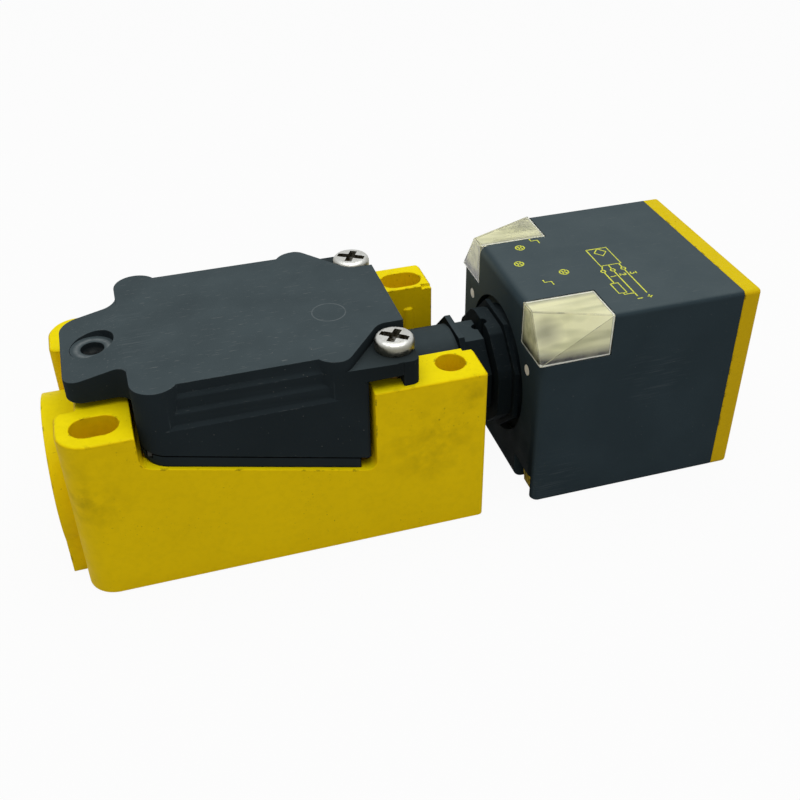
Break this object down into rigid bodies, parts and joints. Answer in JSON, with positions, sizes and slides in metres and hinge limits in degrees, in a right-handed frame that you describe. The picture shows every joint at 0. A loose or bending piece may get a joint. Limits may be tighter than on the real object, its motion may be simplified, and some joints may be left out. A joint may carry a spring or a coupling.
{
  "type": "inductive proximity sensor",
  "caption": "Cuboid inductive proximity sensor: yellow mounting base with screw-terminal chamber and cable entry, and a square sensing head that pulls out and turns on its neck.",
  "frame": {"origin": "middle of the mounting hole pattern on the mounting face", "axes": "+X to the sensing face, -X to the cable entry, +Z away from the mounting face"},
  "size_m": [0.1256, 0.0404, 0.0395],
  "materials": {
    "yellow_plastic": "moulded, fine satin",
    "cover_plastic": "moulded, fine grain, worn",
    "black_plastic": "moulded, fine satin",
    "screw_steel": "plated steel",
    "brass": "turned brass",
    "seal_rubber": "soft rubber",
    "clear_plastic": "clear moulded plastic",
    "pale_plastic": "moulded",
    "lead_insulation": "extruded insulation",
    "lamp_resin": "cast lamp resin",
    "board_laminate": "laminate with solder mask",
    "component_black": "moulded component bodies",
    "casting_resin": "cast resin",
    "ferrite": "sintered",
    "copper_wire": "enamelled copper winding"
  },
  "bodies": {
    "base": {"mounting_base": "yellow_plastic", "threaded_inserts": "brass", "terminal_plate": "black_plastic", "plate_screws": "screw_steel", "cover_seal": "seal_rubber", "terminal_block": "black_plastic", "terminal_clamps": "brass", "terminal_screws": "screw_steel", "terminal_cover": "cover_plastic", "cover_screws": "screw_steel"},
    "neck": {"neck_spigot": "black_plastic", "neck_o_ring": "seal_rubber", "neck_retainer": "screw_steel"},
    "head": {"head_collar": "black_plastic", "collar_plate": "black_plastic", "stem_clip": "screw_steel", "collar_screws": "screw_steel", "head_leads": "lead_insulation", "lead_ferrules": "brass", "head_housing": "black_plastic", "light_guides": "clear_plastic", "filler_plugs": "pale_plastic", "corner_lens_near": "clear_plastic", "corner_lens_far": "clear_plastic", "indicator_lamps": "lamp_resin", "circuit_board": "board_laminate", "board_parts": "component_black", "resin_block": "casting_resin", "shield_ring": "brass", "ferrite_core": "ferrite", "coil_former": "pale_plastic", "sensing_coil": "copper_wire", "active_face_cap": "yellow_plastic"}
  },
  "joints": [
    {"name": "head_pull", "type": "slide", "parent": "base", "child": "neck", "axis": [1, 0, 0], "range_m": [-0.0083, 0]},
    {"name": "head_turn", "type": "hinge", "parent": "neck", "child": "head", "pos_m": [0.0408, 0, 0.0197], "axis": [1, 0, 0], "range_deg": [-90, 180]}
  ]
}
